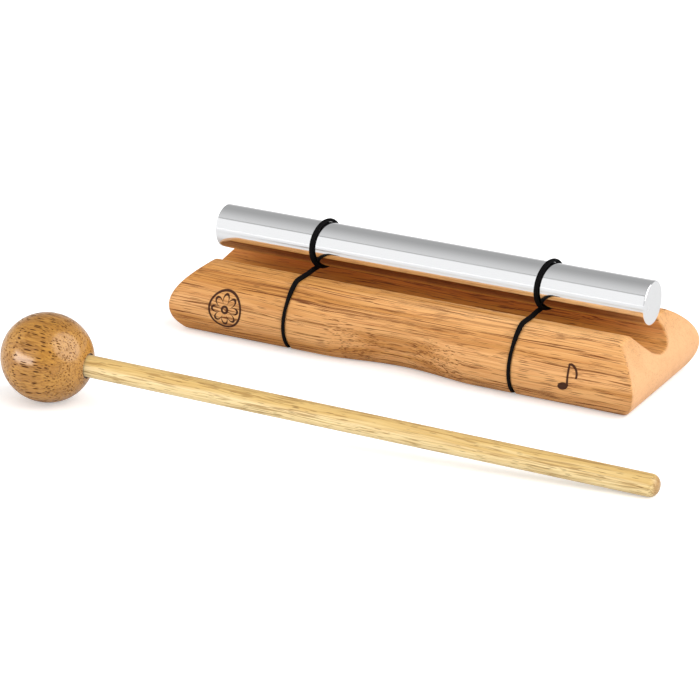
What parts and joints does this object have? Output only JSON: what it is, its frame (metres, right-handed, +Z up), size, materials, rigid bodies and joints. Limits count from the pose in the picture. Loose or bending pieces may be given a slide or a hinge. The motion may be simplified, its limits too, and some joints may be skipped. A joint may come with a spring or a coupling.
{
  "type": "energy chime with mallet",
  "caption": "Polished round metal bar slung on black elastic cords over the groove of a rounded hardwood block, with a wooden ball mallet that strikes it.",
  "frame": {"origin": "middle of the block's flat underside", "axes": "+X along the bar, to the right of the picture; +Y to the back of the block; +Z up"},
  "size_m": [0.237, 0.1527, 0.0427],
  "materials": {
    "block_wood": "fine-sanded and oiled, grain along X",
    "bar_metal": "polished",
    "cord": "braided elastic",
    "ball_wood": "satin lacquer, open pores",
    "dowel_wood": "satin lacquer"
  },
  "bodies": {
    "base": {"base_block": "block_wood", "left_front_cord": "cord", "left_back_cord": "cord", "left_cord_knot": "cord", "right_front_cord": "cord", "right_back_cord": "cord", "right_cord_knot": "cord"},
    "slings": {"left_rod_turn": "cord", "right_rod_turn": "cord"},
    "chime": {"chime_rod": "bar_metal"},
    "mallet": {"mallet_head": "ball_wood", "mallet_handle": "dowel_wood"}
  },
  "joints": [
    {"name": "chime_bounce", "type": "slide", "parent": "base", "child": "slings", "axis": [0, 0, 1], "range_m": [-0.0015, 0.0015], "stiffness_N_per_m": 900, "springref_m": 0.00102},
    {"name": "chime_shift", "type": "slide", "parent": "slings", "child": "chime", "axis": [1, 0, 0], "range_m": [-0.006, 0.006]},
    {"name": "mallet_lift", "type": "slide", "parent": "base", "child": "mallet", "axis": [0, 0, 1], "range_m": [0, 0.12]}
  ]
}
